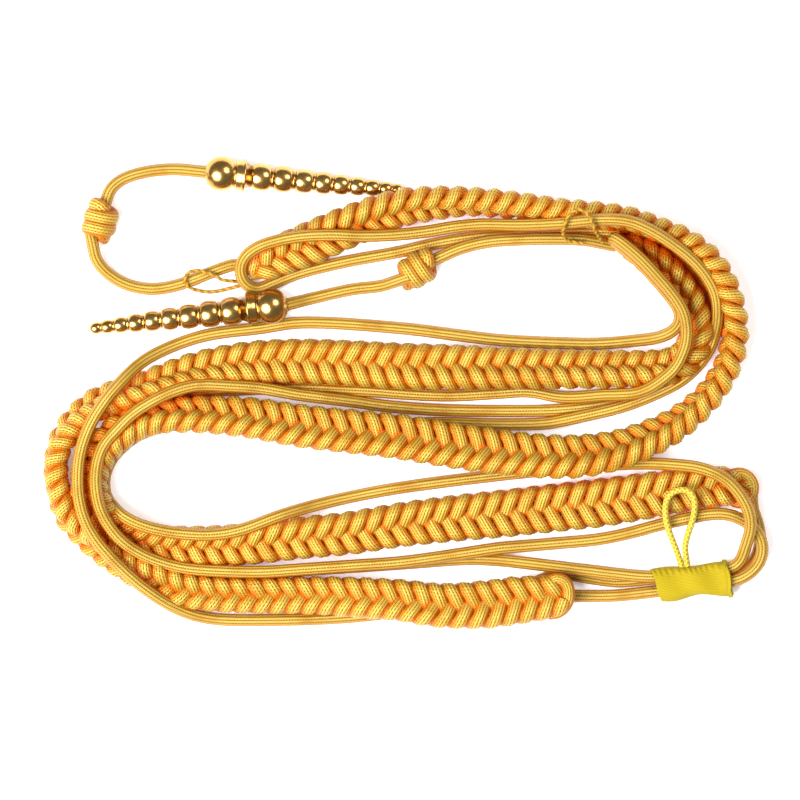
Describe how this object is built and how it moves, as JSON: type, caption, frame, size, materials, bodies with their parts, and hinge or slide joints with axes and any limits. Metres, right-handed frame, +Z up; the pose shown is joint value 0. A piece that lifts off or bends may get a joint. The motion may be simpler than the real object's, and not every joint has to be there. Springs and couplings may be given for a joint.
{
  "type": "aiguillette",
  "caption": "Plaited gold shoulder cord for dress uniform with plain cord loops, knotted cord ends, gilt tips and a button loop at a taped shoulder end.",
  "frame": {"origin": "on the table, under the middle of the laid-out piece", "axes": "+Z up from the table, +X along the long side, from the left bend towards the shoulder tape, +Y away from the viewer, towards the long arm's gilt tip"},
  "size_m": [0.2915, 0.1901, 0.023],
  "materials": {
    "gold_cord": "silky braided cord",
    "gilt_metal": "polished",
    "lemon_tape": "ribbed woven tape",
    "pale_cord": "thin braided cord"
  },
  "bodies": {
    "root": {"long_braid": "gold_cord", "short_braid": "gold_cord", "long_loop_upper": "gold_cord", "long_loop_lower": "gold_cord", "short_loop_upper": "gold_cord", "short_loop_lower": "gold_cord", "long_tail": "gold_cord", "short_tail": "gold_cord", "long_tip_cord": "gold_cord", "long_end_cord": "gold_cord", "short_tip_cord": "gold_cord", "short_end_cord": "gold_cord", "long_knot": "gold_cord", "short_knot": "gold_cord", "long_tip": "gilt_metal", "short_tip": "gilt_metal", "shoulder_tape": "lemon_tape", "button_loop": "pale_cord", "long_thread_loop": "gold_cord", "short_thread_loop": "gold_cord"}
  },
  "joints": []
}
